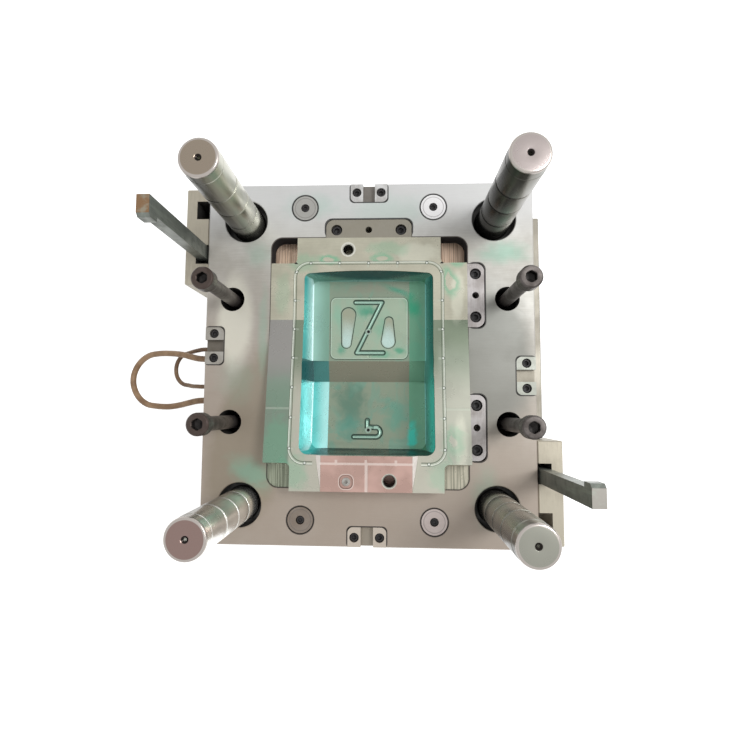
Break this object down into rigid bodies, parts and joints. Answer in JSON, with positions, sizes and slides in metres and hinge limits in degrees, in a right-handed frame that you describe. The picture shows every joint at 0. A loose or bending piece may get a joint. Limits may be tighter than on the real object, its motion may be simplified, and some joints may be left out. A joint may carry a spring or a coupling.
{
  "type": "housing mould",
  "caption": "Fixed half of a three-plate injection mould for a shallow drafted housing, parting face up, with guide pillars, stop bolts, latch bars, a wedged cavity insert and cooling hoses.",
  "frame": {"origin": "middle of the clamp plate's back, on the mould's axis", "axes": "+Z from the clamp plate's back to the parting face, +X across the plates towards the water manifold's flank, +Y along the plates towards the single wedge"},
  "size_m": [0.6994, 0.55, 0.423],
  "materials": {
    "plate_steel": "ground tool steel, warm grey",
    "runner_steel": "ground steel",
    "clamp_steel": "ground steel",
    "insert_steel": "milled and polished tool steel with spotting ink",
    "pillar_steel": "ground and oiled",
    "bush_steel": "ground",
    "bolt_steel": "turned and blackened",
    "bar_steel": "milled, dark with oil",
    "pin_steel": "ground",
    "wedge_steel": "ground",
    "lock_steel": "ground",
    "pad_steel": "hardened and ground",
    "block_steel": "milled",
    "manifold_steel": "milled",
    "screw_black": "black oxide",
    "brass": "turned",
    "hose_rubber": "tan rubber hose"
  },
  "bodies": {
    "clamp_side": {"clamp_plate": "clamp_steel", "locating_ring": "bush_steel", "locating_ring_screws": "screw_black", "sprue_bush": "bush_steel", "guide_pillar_upper_left": "pillar_steel", "guide_pillar_upper_right": "pillar_steel", "guide_pillar_lower_left": "pillar_steel", "guide_pillar_lower_right": "pillar_steel", "latch_bar_left": "bar_steel", "latch_bar_right": "bar_steel", "latch_bar_screws": "screw_black", "runner_lock_pins": "pin_steel"},
    "runner_side": {"runner_plate": "runner_steel", "runner_bush_upper_left": "bush_steel", "runner_bush_upper_right": "bush_steel", "runner_bush_lower_left": "bush_steel", "runner_bush_lower_right": "bush_steel", "stop_bolt_upper_left": "bolt_steel", "stop_bolt_upper_right": "bolt_steel", "stop_bolt_lower_left": "bolt_steel", "stop_bolt_lower_right": "bolt_steel", "runner_limit_bolts": "screw_black"},
    "cavity_side": {"cavity_plate": "plate_steel", "guide_bush_upper_left": "bush_steel", "guide_bush_upper_right": "bush_steel", "guide_bush_lower_left": "bush_steel", "guide_bush_lower_right": "bush_steel", "cavity_insert": "insert_steel", "insert_top_bar": "insert_steel", "insert_shelf_bar": "insert_steel", "insert_screws": "screw_black", "insert_bush": "bush_steel", "shelf_bush": "bush_steel", "shelf_pin": "pin_steel", "gate_bush_upper": "bush_steel", "gate_bush_lower": "bush_steel", "wedge_top": "wedge_steel", "wedge_side_upper": "wedge_steel", "wedge_side_lower": "wedge_steel", "wedge_screws": "screw_black", "side_lock_top": "lock_steel", "side_lock_bottom": "lock_steel", "side_lock_left": "lock_steel", "side_lock_right": "lock_steel", "side_lock_screws": "screw_black", "stop_pad_upper_left": "pad_steel", "stop_pad_upper_right": "pad_steel", "stop_pad_lower_left": "pad_steel", "stop_pad_lower_right": "pad_steel", "stop_pad_screws": "screw_black", "latch_block_left": "block_steel", "latch_block_right": "block_steel", "latch_block_screws": "screw_black", "water_manifold": "manifold_steel", "manifold_screws": "screw_black", "hose_nipples": "brass", "long_hose": "hose_rubber", "short_hose": "hose_rubber"}
  },
  "joints": [
    {"name": "runner_slide", "type": "slide", "parent": "clamp_side", "child": "runner_side", "axis": [0, 0, 1], "range_m": [0, 0.008]},
    {"name": "cavity_slide", "type": "slide", "parent": "runner_side", "child": "cavity_side", "axis": [0, 0, 1], "range_m": [0, 0.183]}
  ]
}
